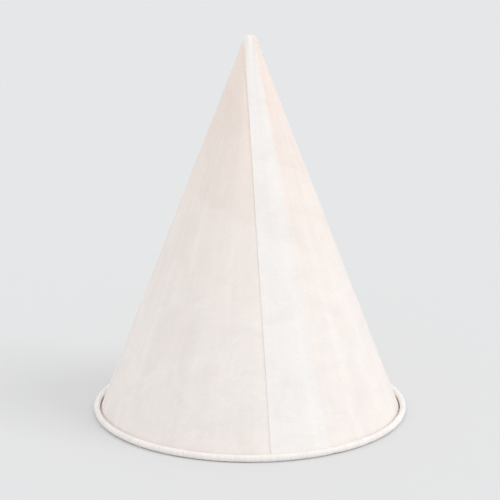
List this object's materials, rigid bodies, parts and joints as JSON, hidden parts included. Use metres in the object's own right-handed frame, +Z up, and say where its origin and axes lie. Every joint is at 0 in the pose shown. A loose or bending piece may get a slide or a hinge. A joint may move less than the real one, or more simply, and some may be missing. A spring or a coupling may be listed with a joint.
{
  "type": "cone paper cup",
  "caption": "Cone paper cup wound from a single sheet, with a lapped side seam, a blunt closed point and a rolled rim. It stands on the rim, point up.",
  "frame": {"origin": "centre of the ring that the rolled rim stands on", "axes": "+Z up the cone's axis, from the mouth to the point; -Y faces the viewer, with the lap's outer edge a little to the right of the front"},
  "size_m": [0.0926, 0.0926, 0.1161],
  "materials": {
    "paper": "matte"
  },
  "bodies": {
    "root": {"paper_cone": "paper"}
  },
  "joints": []
}
